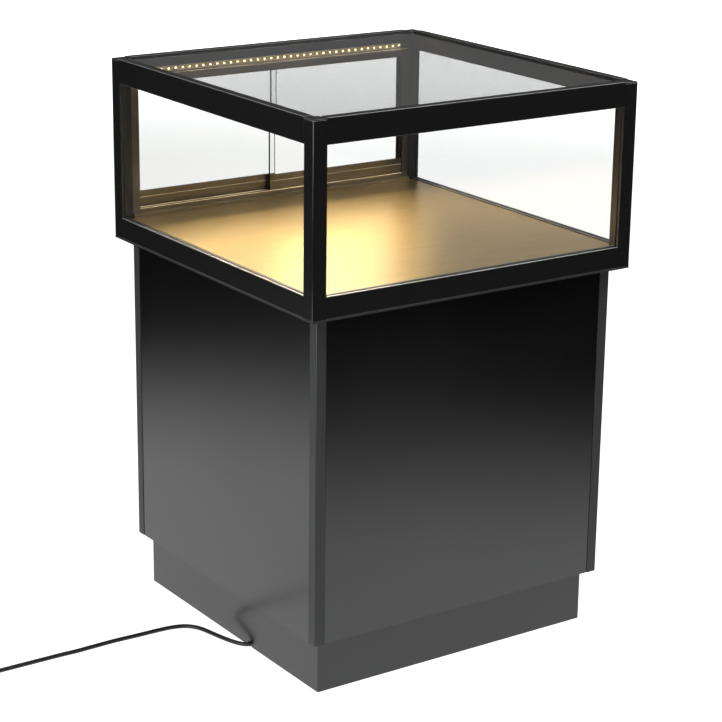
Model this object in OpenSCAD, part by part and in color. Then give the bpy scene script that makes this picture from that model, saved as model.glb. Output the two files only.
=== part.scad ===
// Pedestal display case: a glazed aluminium showcase on a laminated pedestal with a set-back kick.
// Two glass doors slide in the rear of the showcase and a storage door closes the pedestal's rear.
// The front faces -Y, +Z is up, and the origin is on the floor at the middle of the plan.

/* [Pedestal] */
// Width and depth over the corner trims
base_w = 566; // [556:2:570]
// Height of the pedestal between the kick and the showcase
base_h = 532; // [420:4:600]
// Width of a corner trim on each face
trim_w = 18; // [18:1:20]
// Thickness of the laminated panels
panel_t = 16; // [15:0.5:16]
// Shadow gap between a panel and its trim
panel_gap = 0.8; // [0.4:0.1:1.2]
// How far the kick boards stand back from the trims
kick_inset = 18; // [10:1:24]
// Height of the kick boards
kick_h = 90; // [70:5:120]

/* [Showcase frame] */
// Outer width and depth of the showcase
case_w = 610; // [608:1:616]
// Height of the showcase, bottom plate included
case_h = 305; // [280:5:340]
// Side of a square corner post
post_w = 25; // [25:0.5:26]
// Width of the rails on their top face
rail_w = 16; // [16:0.5:17]
// Height of the top rails on their outer face
top_rail_h = 40; // [38:1:44]
// Height of the bottom rails
sill_h = 35; // [32:1:40]
// Thickness of the bottom plate
plate_t = 3; // [2:0.5:4]
// Wall of the extrusions
wall = 1.8; // [1.4:0.1:2]
// How far the rails stand above the post caps
cap_drop = 1.3; // [0.5:0.1:2]

/* [Glass and doors] */
// Thickness of every pane
glass_t = 5; // [4:0.5:5]
// Overlap of the two sliding doors
door_overlap = 16; // [12:1:30]
// Diameter of the rollers over their flanges
roller_d = 14; // [12:0.5:15]
// Height of the aluminium shoe above the track floor
shoe_top = 38; // [36:1:42]

/* [Deck and lighting] */
// Thickness of the display deck
deck_t = 16; // [12:1:18]
// Number of light-emitting chips on the strip
chip_count = 40; // [20:1:42]
// Distance from chip to chip
chip_pitch = 13.4; // [10:0.1:13.4]

/* [Storage door] */
// Height of each hinge leaf
hinge_h = 50; // [40:5:60]
// Distance of the lock from the free edge of the door
lock_inset = 23; // [22:1:25]

/* [Mains cord] */
// Diameter of the mains cord
cord_d = 7; // [6:0.5:7]
// Middle of the stored coil
coil_at = [-710, 120];
// Turns in the coil, in two layers
coil_turns = 5.5; // [4.5:1:5.5]

/* [Hidden] */

$fn = 64;
eps = 0.01; // keeps a cutting solid clear of the face that it opens

frame_black = "#141517";
trim_grey = "#56585b";
panel_black = "#2b2c2e";
bare_metal = "#8d8980";
glass_tint = [0.80, 0.90, 0.88, 0.35];
deck_gold = "#c9ad74";
rubber_black = "#1b1b1c";
warm_white = "#ffedb0";
steel = "#b9bcc0";

// Levels and half widths
case_z = kick_h + base_h;
frame_z = case_z + plate_t;
sill_z = frame_z + sill_h;
top_z = case_z + case_h;
half = case_w / 2;
base_half = base_w / 2;
kick_half = base_half - kick_inset;
inner_half = half - post_w;

// Glazing: a pane stands between two gasket lips in a channel of the frame
lip_t = 1;
channel_u = 4;
channel_w = glass_t + 2 * lip_t;
channel_d = 7;
sill_channel_d = 9;
top_channel_z = top_z - 22;
rail_skirt_z = top_z - top_rail_h;
soffit_z = top_z - 31;
top_lip_t = 0.5;
top_slot_h = glass_t + 2 * top_lip_t;
top_slot_z = top_z - 2.5 - top_slot_h;
top_slot_u = 10;
arris_r = 1.2;
edge_cut = 0.6;

// Deck and its ledge on the bottom rails
deck_z = sill_z - 1.5 - deck_t;
ledge_w = 8;
ledge_t = 2;
deck_half = half - rail_w - 1;

// Door tracks: two channels, the inner one for the right door and the outer one for the left
track_in = inner_half + 0.5;
track_foot = 4.5; // shows behind the deck and runs past the jambs to the posts
deck_rear = track_in - track_foot - 0.3;
track_wall = 1.6;
track_w = 9;
track_depth = 3 * track_wall + 2 * track_w;
inner_lane = track_in + track_wall + track_w / 2;
outer_lane = inner_lane + track_wall + track_w;
track_floor_t = 4;
track_wall_h = 12;
track_top_h = 14;
rear_rail_z = top_z - 35;
rib_w = 1.4;
rib_h = 2.5;
jamb_w = 14;
jamb_in = inner_half - jamb_w;
jamb_groove = 7;

// Doors
door_edge = jamb_in + 6;
door_glass_z = sill_z + shoe_top - 9;
door_top_z = rear_rail_z - 6;
shoe_end = jamb_in - 0.5;
shoe_w = 8;
shoe_grip_w = 7.2;
shoe_grip_h = 10;
shoe_z = sill_z + 7.5;
shoe_slot_w = 4.8;
rib_z = sill_z + track_floor_t + rib_h;
axle_r = 1.5;
bore_r = 1.55;
groove_r = roller_d / 2 - 1;
roller_z = rib_z + groove_r + 0.1;
roller_w = 3.6;
roller_inset = 30;

// Lighting
strip_half = (chip_count - 1) * chip_pitch / 2 + 3;
strip_z = top_z - 29;
carrier_h = 8;
carrier_d = 3;
lead_r = 1.5;
lead_hole_r = 3;
post_core = 18; // from the outer faces to the middle of the post's inner core
core_at = half - post_core;
lead_low_z = frame_z + 8;
lead_drop = [240, 225];
driver = [[65, 205], [185, 245]];
driver_h = 28;
driver_z = case_z - 18 - driver_h;
lead_z = driver_z + driver_h / 2;
driver_relief_l = 25;
rise_at = [-245, 245]; // where the mains lead goes up through the pedestal floor
rise_hole_r = 5;

// Pedestal carcass
board_t = 18;
panel_set = 1; // the panels lie this far behind the faces of the trims
carcass_half = base_half - panel_set - panel_t - 0.2;
carcass_rear = base_half - 19;
tongue_t = 3;
tongue_l = 8;
bolt_at = 200;
bolt_r = 3;

// Storage door and its hinges
door_t = 15;
door_half = base_half - trim_w - 2;
door_gap = 2;
door_face = base_half - panel_set;
pin_at = [base_half - trim_w + 1, base_half + 3];
pin_r = 1.5;
knuckle_r = 3;
leaf_t = 1.5;
hinge_zs = [kick_h + 90, case_z - 92];
lock_at = -door_half + lock_inset;
lock_z = kick_h + 310;
plug_r = 6;
lock_body_r = 9.2;
lock_flange_r = 11.5;
lock_flange_t = 2;
cam_y = base_half - 18.6;
cam_l = 20;

// Cord: leaves under the left kick board and lies on the floor, then is wound up for storage
cord_r = cord_d / 2;
exit_at = [-kick_half, -60];
coil_pitch = cord_d + 0.6;
coil_climb = cord_d + 0.5;
coil_inner_r = 28;
coil_outer_r = coil_inner_r + coil_pitch * coil_turns / 2;
coil_rings = 24;
stub = cord_d;
cord_route = [
  [-265, -60], [-271, -56.5], [-278, -47], [-285, -30], [-291, -8], [-296, 14], [-301, 35],
  [-308, 49], [-319, 60], [-336, 66.5], [-360, 69.5], [-403, 70.5], [-446, 72], [-489, 71],
  [-515, 70], [-545, 71], [-600, 71], [-655, 71]];
coil_start = [coil_at.x + stub, coil_at.y - coil_outer_r];
coil_end = [coil_at.x + stub, coil_at.y + coil_outer_r];
cord_ring_gap = 17;
relief_l = 32;

// ---- Curves and tubes

function unit(v) = v / norm(v);

function tangents(p) =
  [for (i = [0 : len(p) - 1]) unit(p[min(i + 1, len(p) - 1)] - p[max(i - 1, 0)])];

// A normal carried along the path without twist
function square_to(n, t) = unit(n - (n * t) * t);
function normals(t, up) =
  [for (i = 0, n = square_to(up, t[0]); i < len(t);
    i = i + 1, n = i < len(t) ? square_to(n, t[i]) : n) n];

// Arc of radius r in place of corner b between a and c
function corner_arc(a, b, c, r, steps) =
  let (d1 = unit(a - b), d2 = unit(c - b))
  let (turn = acos(d1 * d2), reach = r / tan(turn / 2))
  let (mid = b + unit(d1 + d2) * r / sin(turn / 2))
  let (x = unit(b + d1 * reach - mid), full = 180 - turn)
  let (y = square_to(b + d2 * reach - mid, x))
  [for (k = [0 : steps]) mid + r * (cos(full * k / steps) * x + sin(full * k / steps) * y)];

function bent_path(p, r, steps) = concat(
  [p[0]],
  [for (i = [1 : len(p) - 2]) each corner_arc(p[i - 1], p[i], p[i + 1], r, steps)],
  [p[len(p) - 1]]);

// Smooth curve through every point of p, with a ring about every gap millimetres
function smooth_point(a, b, c, d, t) =
  0.5 * (2 * b + (c - a) * t + (2 * a - 5 * b + 4 * c - d) * t * t + (3 * b - a - 3 * c + d) * pow(t, 3));
function smooth_path(p, gap) = concat(
  [for (i = [0 : len(p) - 2])
    let (steps = max(1, round(norm(p[i + 1] - p[i]) / gap)))
    let (before = i == 0 ? 2 * p[0] - p[1] : p[i - 1])
    let (after = i == len(p) - 2 ? 2 * p[i + 1] - p[i] : p[i + 2])
    for (k = [0 : steps - 1]) smooth_point(before, p[i], p[i + 1], after, k / steps)],
  [p[len(p) - 1]]);

module tube(path, r, sides, up = [0, 0, 1]) {
  t = tangents(path);
  n = normals(t, up);
  rings = len(path);
  points = [for (i = [0 : rings - 1], k = [0 : sides - 1])
    let (a = 360 * (k + 0.5) / sides) path[i] + r * (cos(a) * n[i] + sin(a) * cross(t[i], n[i]))];
  walls = [for (i = [0 : rings - 2], k = [0 : sides - 1])
    let (a = i * sides + k, b = i * sides + (k + 1) % sides)
    each [[a, a + sides, b], [b, a + sides, b + sides]]];
  first = [for (k = [1 : sides - 2]) [0, k, k + 1]];
  last = (rings - 1) * sides;
  final = [for (k = [1 : sides - 2]) [last, last + k + 1, last + k]];
  polyhedron(points, concat(first, walls, final), convexity = 8);
}

// ---- Placing on the four sides and corners: 0 is the front or front left, counted anticlockwise

module on_side(i, reach) {
  rotate(90 * i) translate([0, -reach, 0]) children();
}

module at_corner(i, reach) {
  rotate(90 * i) translate([-reach, -reach, 0]) children();
}

// A bar along X whose section is drawn with x inwards from the outer face and y upwards
module bar(length) {
  rotate([90, 0, 90]) linear_extrude(length, center = true) children();
}

// A box from corner to corner
module block(low, high) {
  translate(low) cube(high - low);
}

// ---- Showcase frame

module bottom_plate() {
  color(frame_black) difference() {
    block([-half, -half, case_z], [half, half, frame_z]);
    bolt_holes(case_z, frame_z);
    translate([lead_drop.x, lead_drop.y, case_z - 1]) cylinder(r = lead_hole_r, h = plate_t + 2);
  }
}

module post_profile() {
  inner_core = channel_u + channel_w + wall;
  difference() {
    square(post_w);
    difference() {
      square(2 * arris_r, center = true);
      translate([arris_r, arris_r]) circle(arris_r);
    }
    for (at = [[0, post_w], [post_w, 0]])
      translate(at) rotate(45) square(edge_cut * sqrt(2), center = true);
    translate([post_w - channel_d, channel_u]) square([channel_d + 1, channel_w]);
    translate([channel_u, post_w - channel_d]) square([channel_w, channel_d + 1]);
    translate([wall, wall]) square(post_w - channel_d - 2 * wall);
    translate([inner_core, inner_core]) square(post_w - wall - inner_core);
  }
}

cap_t = 2;
post_top = top_z - cap_drop - cap_t;

module post(i) {
  color(frame_black) at_corner(i, half)
    translate([0, 0, frame_z]) linear_extrude(post_top - frame_z) post_profile();
}

module rear_right_post() {
  difference() {
    post(2);
    translate([inner_half - 1, core_at, strip_z]) rotate([0, 90, 0]) cylinder(r = lead_hole_r, h = wall + 2);
    translate([core_at, inner_half - 1, lead_low_z]) rotate([-90, 0, 0])
      cylinder(r = lead_hole_r, h = wall + 2);
  }
}

// Caps with a spigot that plugs into the post's outer core
module post_caps() {
  spigot = post_w - channel_d - 2 * wall - 0.4;
  spigot_l = 8;
  color(frame_black) for (i = [0 : 3]) at_corner(i, half) {
    translate([0, 0, post_top]) linear_extrude(cap_t) difference() {
      square(post_w);
      difference() {
        square(2 * arris_r, center = true);
        translate([arris_r, arris_r]) circle(arris_r);
      }
    }
    translate([wall + 0.2, wall + 0.2, post_top - spigot_l]) cube([spigot, spigot, spigot_l + eps]);
  }
}

// Box section with a skirt, a pane channel open below and a slot for the top pane
module top_rail_section() {
  difference() {
    polygon([
      [0, rail_skirt_z], [channel_u, rail_skirt_z], [channel_u, top_channel_z],
      [channel_u + channel_w, top_channel_z], [channel_u + channel_w, soffit_z], [rail_w, soffit_z],
      [rail_w, top_z], [edge_cut, top_z], [0, top_z - edge_cut]]);
    translate([top_slot_u, top_slot_z]) square([rail_w, top_slot_h]);
    translate([wall, top_channel_z + wall])
      square([top_slot_u - 2 * wall, top_z - top_channel_z - 2 * wall]);
    translate([wall, top_channel_z + wall])
      square([rail_w - 2 * wall, top_slot_z - top_channel_z - 2 * wall]);
  }
}

module rear_top_rail_section() {
  difference() {
    polygon([
      [0, rear_rail_z], [rail_w, rear_rail_z], [rail_w, top_z], [edge_cut, top_z], [0, top_z - edge_cut]]);
    translate([top_slot_u, top_slot_z]) square([rail_w, top_slot_h]);
    translate([wall, rear_rail_z + wall])
      square([top_slot_u - 2 * wall, top_z - rear_rail_z - 2 * wall]);
    translate([wall, rear_rail_z + wall])
      square([rail_w - 2 * wall, top_slot_z - rear_rail_z - 2 * wall]);
  }
}

module top_rail(i) {
  color(frame_black) on_side(i, half) bar(2 * inner_half) top_rail_section();
}

module rear_top_rail() {
  color(frame_black) on_side(2, half) bar(2 * inner_half) rear_top_rail_section();
}

// Box section with a pane channel open above and a ledge for the deck
module sill_section(width, channel) {
  difference() {
    union() {
      translate([0, frame_z]) square([width, sill_h]);
      translate([width - eps, deck_z - ledge_t]) square([ledge_w, ledge_t]);
    }
    translate([wall, frame_z + wall]) square([width - 2 * wall, sill_h - sill_channel_d - 2 * wall]);
    if (channel) translate([channel_u, sill_z - sill_channel_d]) square([channel_w, sill_channel_d + 1]);
  }
}

module bottom_rail(i) {
  color(frame_black) on_side(i, half) bar(2 * inner_half) sill_section(rail_w, true);
}

module rear_bottom_rail() {
  color(frame_black) on_side(2, half) bar(2 * inner_half) sill_section(post_w, false);
}

// ---- Glass and gaskets

pane_half = inner_half + channel_d - lip_t;
pane_low = sill_z - sill_channel_d + lip_t + 1;
pane_high = top_channel_z - 2;

module pane_blank(grow) {
  block([-pane_half - grow, channel_u + lip_t - grow, pane_low - grow],
        [pane_half + grow, channel_u + lip_t + glass_t + grow, pane_high + grow]);
}

module pane(i) {
  color(glass_tint) on_side(i, half) pane_blank(0);
}

// U-shaped seals round the edges of the three fixed panes
module pane_gaskets() {
  color(rubber_black) for (i = [0, 1, 3]) on_side(i, half) difference() {
    pane_blank(lip_t);
    pane_blank(0);
    block([-inner_half, 0, sill_z], [inner_half, rail_w, soffit_z]);
  }
}

top_pane_half = half - top_slot_u - 1;

module top_pane_blank(grow, low, high) {
  difference() {
    block([-top_pane_half - grow, -top_pane_half - grow, low],
          [top_pane_half + grow, top_pane_half + grow, high]);
    for (i = [0 : 3]) at_corner(i, half)
      block([-1, -1, low - 1], [post_w + 1.5 - grow, post_w + 1.5 - grow, high + 1]);
  }
}

module top_glass() {
  color(glass_tint)
    top_pane_blank(0, top_slot_z + top_lip_t, top_slot_z + top_lip_t + glass_t);
}

module top_gasket() {
  flush = half - rail_w;
  color(rubber_black) difference() {
    top_pane_blank(1, top_slot_z, top_slot_z + top_slot_h);
    top_pane_blank(0, top_slot_z + top_lip_t, top_slot_z + top_lip_t + glass_t);
    block([-flush, -flush, top_slot_z - 1], [flush, flush, top_z]);
  }
}

// ---- Deck

module deck_panel() {
  clear = post_w + 0.5;
  color(deck_gold) difference() {
    block([-deck_half, -deck_half, deck_z], [deck_half, deck_rear, deck_z + deck_t]);
    for (i = [0 : 3]) at_corner(i, half)
      block([0, 0, deck_z - 1], [clear, clear, deck_z + deck_t + 1]);
  }
}

// ---- Sliding door tracks and jambs

// Floor with a rib in each lane for the grooved rollers, three walls, and a foot whose lip hangs
// between the deck and the rail
module lower_track() {
  lip = 5;
  color(bare_metal) translate([0, track_in, 0]) {
    bar(2 * jamb_in) union() {
      translate([-track_foot, sill_z]) square([track_foot + track_depth, track_floor_t]);
      for (k = [0 : 2])
        translate([k * (track_w + track_wall), sill_z]) square([track_wall, track_wall_h]);
      for (lane = [inner_lane, outer_lane])
        translate([lane - track_in - rib_w / 2, sill_z + track_floor_t - eps])
          square([rib_w, rib_h + eps]);
    }
    bar(2 * inner_half - 0.6) union() {
      translate([-track_foot, sill_z]) square([track_foot - 0.1, track_floor_t]);
      translate([-track_foot, sill_z - lip]) square([track_foot - 0.8, lip + eps]);
    }
  }
}

module upper_track() {
  low = rear_rail_z - track_top_h;
  color(bare_metal) translate([0, track_in, 0]) bar(2 * jamb_in) difference() {
    translate([0, low]) square([track_depth, track_top_h]);
    for (k = [0, 1])
      translate([track_wall + k * (track_w + track_wall), low - 1]) square([track_w, track_top_h - 1]);
  }
}

// Upright between the tracks with a groove for each door's edge
module jamb(side) {
  color(bare_metal) translate([0, 0, sill_z]) linear_extrude(rear_rail_z - sill_z) difference() {
    translate([side > 0 ? jamb_in : -inner_half, track_in]) square([jamb_w, track_depth]);
    for (lane = [inner_lane, outer_lane])
      translate([side > 0 ? jamb_in - 1 : -jamb_in - jamb_groove, lane - channel_w / 2])
        square([jamb_groove + 1, channel_w]);
  }
}

// ---- Sliding doors: x runs from low to high, y is centred on the lane

module door_pane(low, high, lane) {
  color(glass_tint)
    block([low, lane - glass_t / 2, door_glass_z], [high, lane + glass_t / 2, door_top_z]);
}

// Shoe that grips the pane above and straddles the rollers below, with its two axles
module door_shoe(low, high, lane) {
  grip_z = sill_z + shoe_top;
  skirt_top = grip_z - shoe_grip_h;
  slot_top = roller_z + roller_d / 2 + 1.5;
  color(bare_metal) {
    translate([(low + high) / 2, lane, 0]) bar(high - low) difference() {
      union() {
        translate([-shoe_w / 2, shoe_z]) square([shoe_w, skirt_top - shoe_z]);
        translate([-shoe_grip_w / 2, skirt_top - eps]) square([shoe_grip_w, shoe_grip_h + eps]);
      }
      translate([-glass_t / 2, door_glass_z]) square([glass_t, shoe_top]);
      translate([-shoe_slot_w / 2, shoe_z - 1]) square([shoe_slot_w, slot_top - shoe_z + 1]);
    }
    for (x = [low + roller_inset, high - roller_inset])
      translate([x, lane - shoe_w / 2, roller_z]) rotate([-90, 0, 0]) cylinder(r = axle_r, h = shoe_w);
  }
}

// Roller with a groove that straddles the rib of the track
module roller(x, lane) {
  rim = 0.8;
  w = roller_w / 2;
  r = roller_d / 2;
  color(rubber_black) translate([x, lane, roller_z]) rotate([90, 0, 0]) rotate_extrude() polygon([
    [bore_r, -w], [r, -w], [r, rim - w], [groove_r, rim - w],
    [groove_r, w - rim], [r, w - rim], [r, w], [bore_r, w]]);
}

meet = door_overlap / 2;

// ---- Lighting

// Aluminium channel on the rear top rail, open towards the front
module led_carrier() {
  back = half - rail_w;
  color(bare_metal) translate([0, back - carrier_d, strip_z]) bar(2 * strip_half) difference() {
    translate([0, -carrier_h / 2]) square([carrier_d, carrier_h]);
    translate([-1, -carrier_h / 2 + 0.8]) square([carrier_d, carrier_h - 1.6]);
  }
}

module led_chips() {
  back = half - rail_w - 1;
  board_h = 5.6;
  color(warm_white) union() {
    block([-strip_half, back - 0.4, strip_z - board_h / 2], [strip_half, back, strip_z + board_h / 2]);
    for (k = [0 : chip_count - 1])
      translate([(k - (chip_count - 1) / 2) * chip_pitch, back - 0.8, strip_z])
        cube([3.5, 1, 2.8], center = true);
  }
}

module led_lead() {
  start = [strip_half, core_at, strip_z];
  route = [
    start, [core_at, core_at, strip_z], [core_at, core_at, lead_low_z],
    [core_at, lead_drop.y, lead_low_z], [lead_drop.x, lead_drop.y, lead_low_z],
    [lead_drop.x, lead_drop.y, lead_z], [driver[1].x, lead_drop.y, lead_z]];
  color(rubber_black) tube(bent_path(route, 9, 4), lead_r, 8);
}

// Closed plastic housing with end flanges and a tapered sleeve for the mains lead
module led_driver() {
  low = driver[0];
  high = driver[1];
  flange = 3;
  color(rubber_black) difference() {
    union() {
      block([low.x, low.y, driver_z], [high.x, high.y, driver_z + driver_h]);
      block([low.x, low.y - 8, driver_z + driver_h - flange], [high.x, high.y + 8, driver_z + driver_h]);
      translate([low.x + eps, lead_drop.y, lead_z]) rotate([0, -90, 0])
        cylinder(r1 = cord_r + 3, r2 = cord_r + 1, h = driver_relief_l);
    }
    for (x = [low.x + 10, high.x - 10], y = [low.y - 4, high.y + 4])
      translate([x, y, driver_z]) cylinder(r = 2, h = driver_h + 1);
  }
}

// Held stretch of the mains lead: from the plinth's notch, up the rear corner, to the driver
module mains_lead() {
  floor_z = cord_r;
  route = [
    [exit_at.x, exit_at.y, floor_z], [-205, -95, floor_z], [-200, 120, floor_z],
    [rise_at.x, rise_at.y, floor_z], [rise_at.x, rise_at.y, lead_z],
    [driver[0].x - 60, lead_drop.y, lead_z], [driver[0].x - driver_relief_l, lead_drop.y, lead_z]];
  color(rubber_black) tube(bent_path(route, 28, 6), cord_r, 10);
}

// ---- Pedestal

module bolt_holes(low, high) {
  for (x = [-bolt_at, bolt_at], y = [-bolt_at, bolt_at])
    translate([x, y, low - 1]) cylinder(r = bolt_r + 0.3, h = high - low + 2);
}

// Level board of the carcass, cut away where the front trims stand
module carcass_board(low) {
  clear = trim_w + 0.2;
  difference() {
    block([-carcass_half, -carcass_half, low], [carcass_half, carcass_rear, low + board_t]);
    for (i = [0, 1]) at_corner(i, base_half) block([0, 0, low - 1], [clear, clear, low + board_t + 1]);
  }
}

module base_top_panel() {
  low = case_z - board_t;
  color(panel_black) difference() {
    carcass_board(low);
    bolt_holes(low, case_z);
    translate([lead_drop.x, lead_drop.y, low - 1]) cylinder(r = lead_hole_r, h = board_t + 2);
  }
}

module base_floor_panel() {
  color(panel_black) difference() {
    carcass_board(kick_h);
    translate([rise_at.x, rise_at.y, kick_h - 1]) cylinder(r = rise_hole_r, h = board_t + 2);
  }
}

// Side panel with a groove in each end for the tongues of the trims
module side_panel(i) {
  reach = base_half - trim_w - panel_gap;
  groove_l = tongue_l + 1;
  groove_t = tongue_t + 0.4;
  mid = panel_set + panel_t / 2;
  color(panel_black) on_side(i, base_half) translate([0, 0, kick_h]) linear_extrude(base_h) difference() {
    translate([-reach, panel_set]) square([2 * reach, panel_t]);
    for (x = [-reach - eps, reach - groove_l + eps])
      translate([x, mid - groove_t / 2]) square([groove_l, groove_t]);
  }
}

// Hollow corner trim. A tongue runs into each fixed panel, and a rear trim has a stop lip for the door.
module trim_profile(right_tongue, left_tongue, right_stop, left_stop) {
  round_r = 1.5;
  mid = panel_set + panel_t / 2;
  stop_w = 13;
  difference() {
    square(trim_w);
    difference() {
      square(2 * round_r, center = true);
      translate([round_r, round_r]) circle(round_r);
    }
    translate([wall, wall]) square(trim_w - 2 * wall);
  }
  if (right_tongue) translate([trim_w - eps, mid - tongue_t / 2]) square([tongue_l, tongue_t]);
  if (left_tongue) translate([mid - tongue_t / 2, trim_w - eps]) square([tongue_t, tongue_l]);
  if (right_stop) translate([trim_w - eps, trim_w - 1.5]) square([stop_w, 1.5]);
  if (left_stop) translate([trim_w - 1.5, trim_w - eps]) square([1.5, stop_w]);
}

module trim(i) {
  color(trim_grey) at_corner(i, base_half) translate([0, 0, kick_h]) linear_extrude(base_h)
    trim_profile(i != 2, i != 3, i == 2, i == 3);
}

// Mitred board of the plinth
module kick(i) {
  color(panel_black) on_side(i, kick_half) linear_extrude(kick_h) polygon([
    [-kick_half, 0], [kick_half, 0], [kick_half - panel_t, panel_t], [panel_t - kick_half, panel_t]]);
}

// The left board is notched at the floor, aslant, for the mains cord
module left_kick() {
  notch_h = cord_d + 1;
  x = -kick_half;
  y = exit_at.y;
  color(panel_black) difference() {
    kick(3);
    translate([0, 0, -1]) linear_extrude(notch_h + 1) polygon([
      [x - 1, y - 5], [x, y - 5], [x + panel_t + 1, y - 15.5], [x + panel_t + 1, y - 4.5],
      [x, y + 4.5], [x - 1, y + 4.5]]);
  }
}

// Hexagon bolts up through the pedestal top and the bottom plate, each with its nut
module case_bolts() {
  head_h = 4;
  nut_h = 5;
  low = case_z - board_t;
  color(steel) for (x = [-bolt_at, bolt_at], y = [-bolt_at, bolt_at]) translate([x, y, 0]) {
    translate([0, 0, low - head_h]) cylinder(r = 5.6, h = head_h, $fn = 6);
    translate([0, 0, low - eps]) cylinder(r = bolt_r, h = board_t + plate_t + nut_h + 2);
    translate([0, 0, frame_z]) cylinder(r = 5.6, h = nut_h, $fn = 6);
  }
}

// ---- Storage door, butt hinges and cam lock

module storage_door() {
  color(panel_black) difference() {
    block([-door_half, door_face - door_t, kick_h + door_gap],
          [door_half + 1, door_face, case_z - door_gap]);
    translate([lock_at, door_face + 1, lock_z]) rotate([90, 0, 0])
      cylinder(r = lock_body_r + 0.3, h = door_t + 2);
  }
}

knuckle_h = hinge_h / 5;

module knuckle(z, h) {
  translate([pin_at.x, pin_at.y, z]) cylinder(r = knuckle_r, h = h);
}

// Leaves on the trim with three knuckles and the fixed pin
module hinge_frame_leaves() {
  color(steel) for (z = hinge_zs) {
    for (k = [0, 2, 4]) {
      knuckle(z + k * knuckle_h, knuckle_h - (k < 4 ? 0.3 : 0));
      block([pin_at.x, base_half, z + k * knuckle_h],
            [pin_at.x + 4, base_half + leaf_t, z + (k + 1) * knuckle_h - (k < 4 ? 0.3 : 0)]);
    }
    block([pin_at.x + 3, base_half, z], [base_half - 2, base_half + leaf_t, z + hinge_h]);
    translate([pin_at.x, pin_at.y, z]) cylinder(r = pin_r, h = hinge_h);
  }
}

// Leaves on the door with two knuckles that turn on the pin
module hinge_door_leaves() {
  lift = 0.3;
  color(steel) for (z = hinge_zs) {
    for (k = [1, 3]) difference() {
      union() {
        knuckle(z + k * knuckle_h + lift, knuckle_h - 2 * lift);
        block([pin_at.x - 4.5, base_half + 0.3, z + k * knuckle_h + lift],
              [pin_at.x, pin_at.y - 0.8, z + (k + 1) * knuckle_h - lift]);
      }
      translate([pin_at.x, pin_at.y, z]) cylinder(r = bore_r, h = hinge_h);
    }
    block([pin_at.x - 26, door_face, z], [pin_at.x - 3.5, door_face + leaf_t, z + hinge_h]);
  }
}

// Round housing with a face flange, let into the door
module lock_barrel() {
  back = cam_y + 0.3;
  color(steel) translate([lock_at, 0, lock_z]) rotate([90, 0, 0]) difference() {
    union() {
      translate([0, 0, -door_face - lock_flange_t]) cylinder(r = lock_flange_r, h = lock_flange_t);
      translate([0, 0, -door_face - eps]) cylinder(r = lock_body_r, h = door_face - back);
    }
    translate([0, 0, -door_face - lock_flange_t - 1]) cylinder(r = plug_r, h = 40);
  }
}

// Turning cylinder with a key slot, and the cam that swings behind the trim's stop lip
module lock_cam() {
  cam_t = 3;
  face = door_face + lock_flange_t;
  color(steel) translate([lock_at, 0, lock_z]) difference() {
    union() {
      translate([0, face, 0]) rotate([90, 0, 0]) cylinder(r = plug_r - 0.05, h = face - cam_y + cam_t);
      translate([0, cam_y, 0]) rotate([90, 0, 0]) cylinder(r = 8, h = cam_t);
      block([-6, cam_y - cam_t, -cam_l], [6, cam_y, 0]);
    }
    block([-0.8, face - 4, -3.5], [0.8, face + 1, 3.5]);
  }
}

// ---- Mains cord

module power_cord() {
  flat = concat(cord_route, [[coil_start.x + 20, coil_start.y], coil_start]);
  color(rubber_black) tube(smooth_path([for (p = flat) [p.x, p.y, cord_r]], cord_ring_gap), cord_r, 10);
}

// Winds in on the lower layer and out again on the upper one, at a steady rate
function ease(t) = t < 0 ? 0 : t > 1 ? 1 : t * t * (3 - 2 * t);
function coil_point(turn) =
  let (r = coil_inner_r + coil_pitch * abs(turn), a = -90 - 360 * (turn + coil_turns / 2))
  [coil_at.x + r * cos(a), coil_at.y + r * sin(a), cord_r + coil_climb * ease(2 * turn + 0.5)];
coil_steps = coil_turns * coil_rings;
coil_path = concat(
  [[coil_start.x, coil_start.y, cord_r]],
  [for (i = [0 : coil_steps]) coil_point(i / coil_rings - coil_turns / 2)],
  [[coil_end.x, coil_end.y, cord_r + coil_climb]]);
coil_gap = min([for (i = [0 : len(coil_path) - 1])
  for (j = [i + 12 : 1 : len(coil_path) - 1]) norm(coil_path[i] - coil_path[j])]) - cord_d;
echo(least_gap_of_the_coil_to_itself = coil_gap);

module cord_coil() {
  color(rubber_black) tube(coil_path, cord_r, 6);
}

// Moulded three-pin plug on a tapered sleeve, lying beside the coil
module plug() {
  z = cord_r + coil_climb;
  body = [28, 27, 2 * z];
  corner_r = 6;
  blade_l = 17;
  color(rubber_black) translate([coil_end.x, coil_end.y, 0]) {
    translate([0, 0, z]) rotate([0, 90, 0]) cylinder(r1 = cord_r + 0.8, r2 = cord_r + 4, h = relief_l);
    translate([relief_l - eps, 0, z]) rotate([90, 0, 90]) linear_extrude(body.x) union() {
      square([body.y - 2 * corner_r, body.z], center = true);
      square([body.y, body.z - 2 * corner_r], center = true);
      for (y = [-1, 1], k = [-1, 1])
        translate([y * (body.y / 2 - corner_r), k * (body.z / 2 - corner_r)]) circle(corner_r);
    }
    for (y = [-6.35, 6.35])
      block([relief_l + body.x - 1, y - 0.75, z - 7.7], [relief_l + body.x + blade_l, y + 0.75, z - 1.3]);
    translate([relief_l + body.x - 1, 0, z + 6.5]) rotate([0, 90, 0]) cylinder(r = 2.4, h = blade_l + 3);
  }
}

// ---- Assembly

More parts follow.
